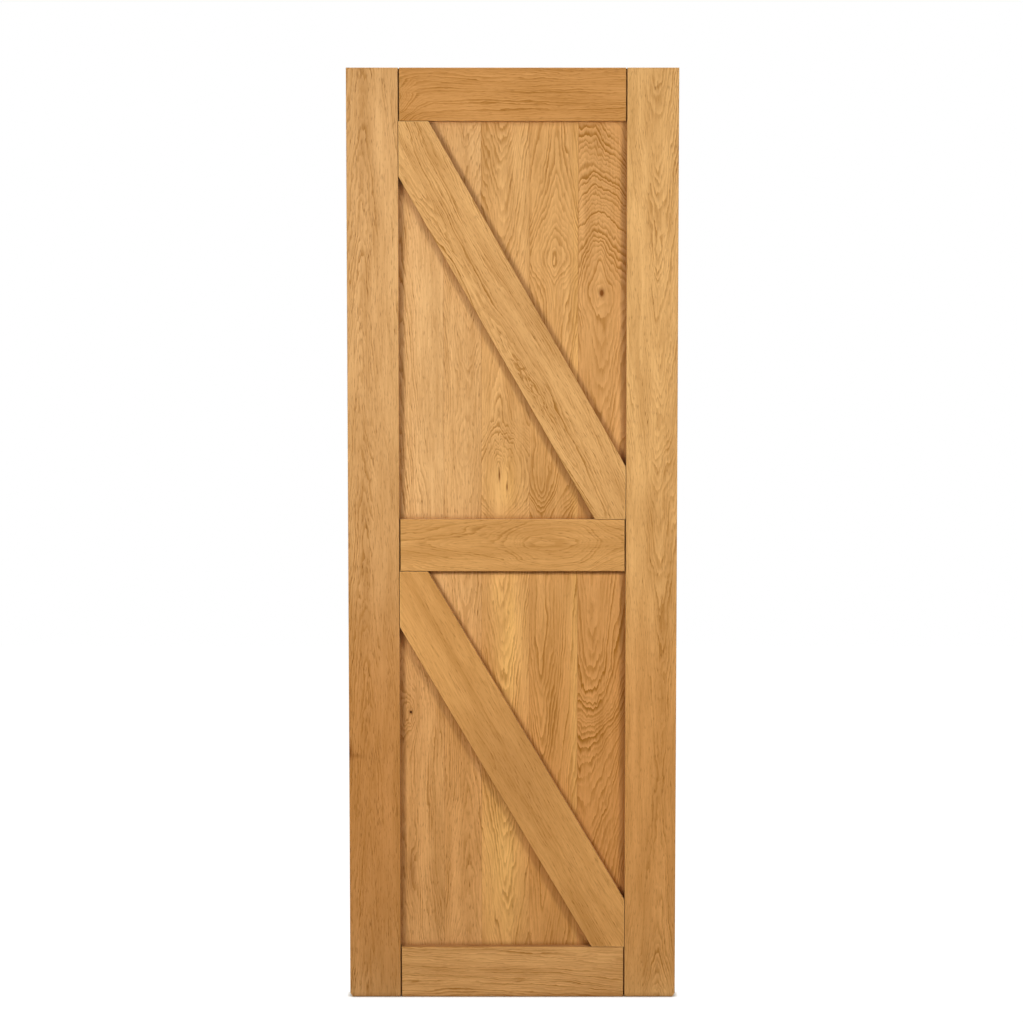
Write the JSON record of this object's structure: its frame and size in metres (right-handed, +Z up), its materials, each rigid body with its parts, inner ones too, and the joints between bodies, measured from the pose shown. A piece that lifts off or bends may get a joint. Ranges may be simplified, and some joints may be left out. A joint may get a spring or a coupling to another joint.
{
  "type": "barn door leaf",
  "caption": "Oak barn door leaf: upright tongue-and-groove boards behind planted stiles, rails and diagonal braces, made to hang from sliding hangers or hinges.",
  "frame": {"origin": "middle of the leaf's bottom edge, at half its thickness", "axes": "+Z up the leaf, +X to the right seen from the front, +Y towards the plain boarded back, so the framed front faces -Y"},
  "size_m": [0.72, 0.04, 2.04],
  "materials": {
    "oak_boards": "planed oak, clear satin oil",
    "oak_frame": "planed oak, clear satin oil",
    "zinc_steel": "zinc-plated steel"
  },
  "bodies": {
    "root": {"board_1": "oak_boards", "board_2": "oak_boards", "board_3": "oak_boards", "board_4": "oak_boards", "board_5": "oak_boards", "board_6": "oak_boards", "board_7": "oak_boards", "left_stile": "oak_frame", "right_stile": "oak_frame", "top_rail": "oak_frame", "middle_rail": "oak_frame", "bottom_rail": "oak_frame", "upper_brace": "oak_frame", "lower_brace": "oak_frame", "screws": "zinc_steel"}
  },
  "joints": []
}
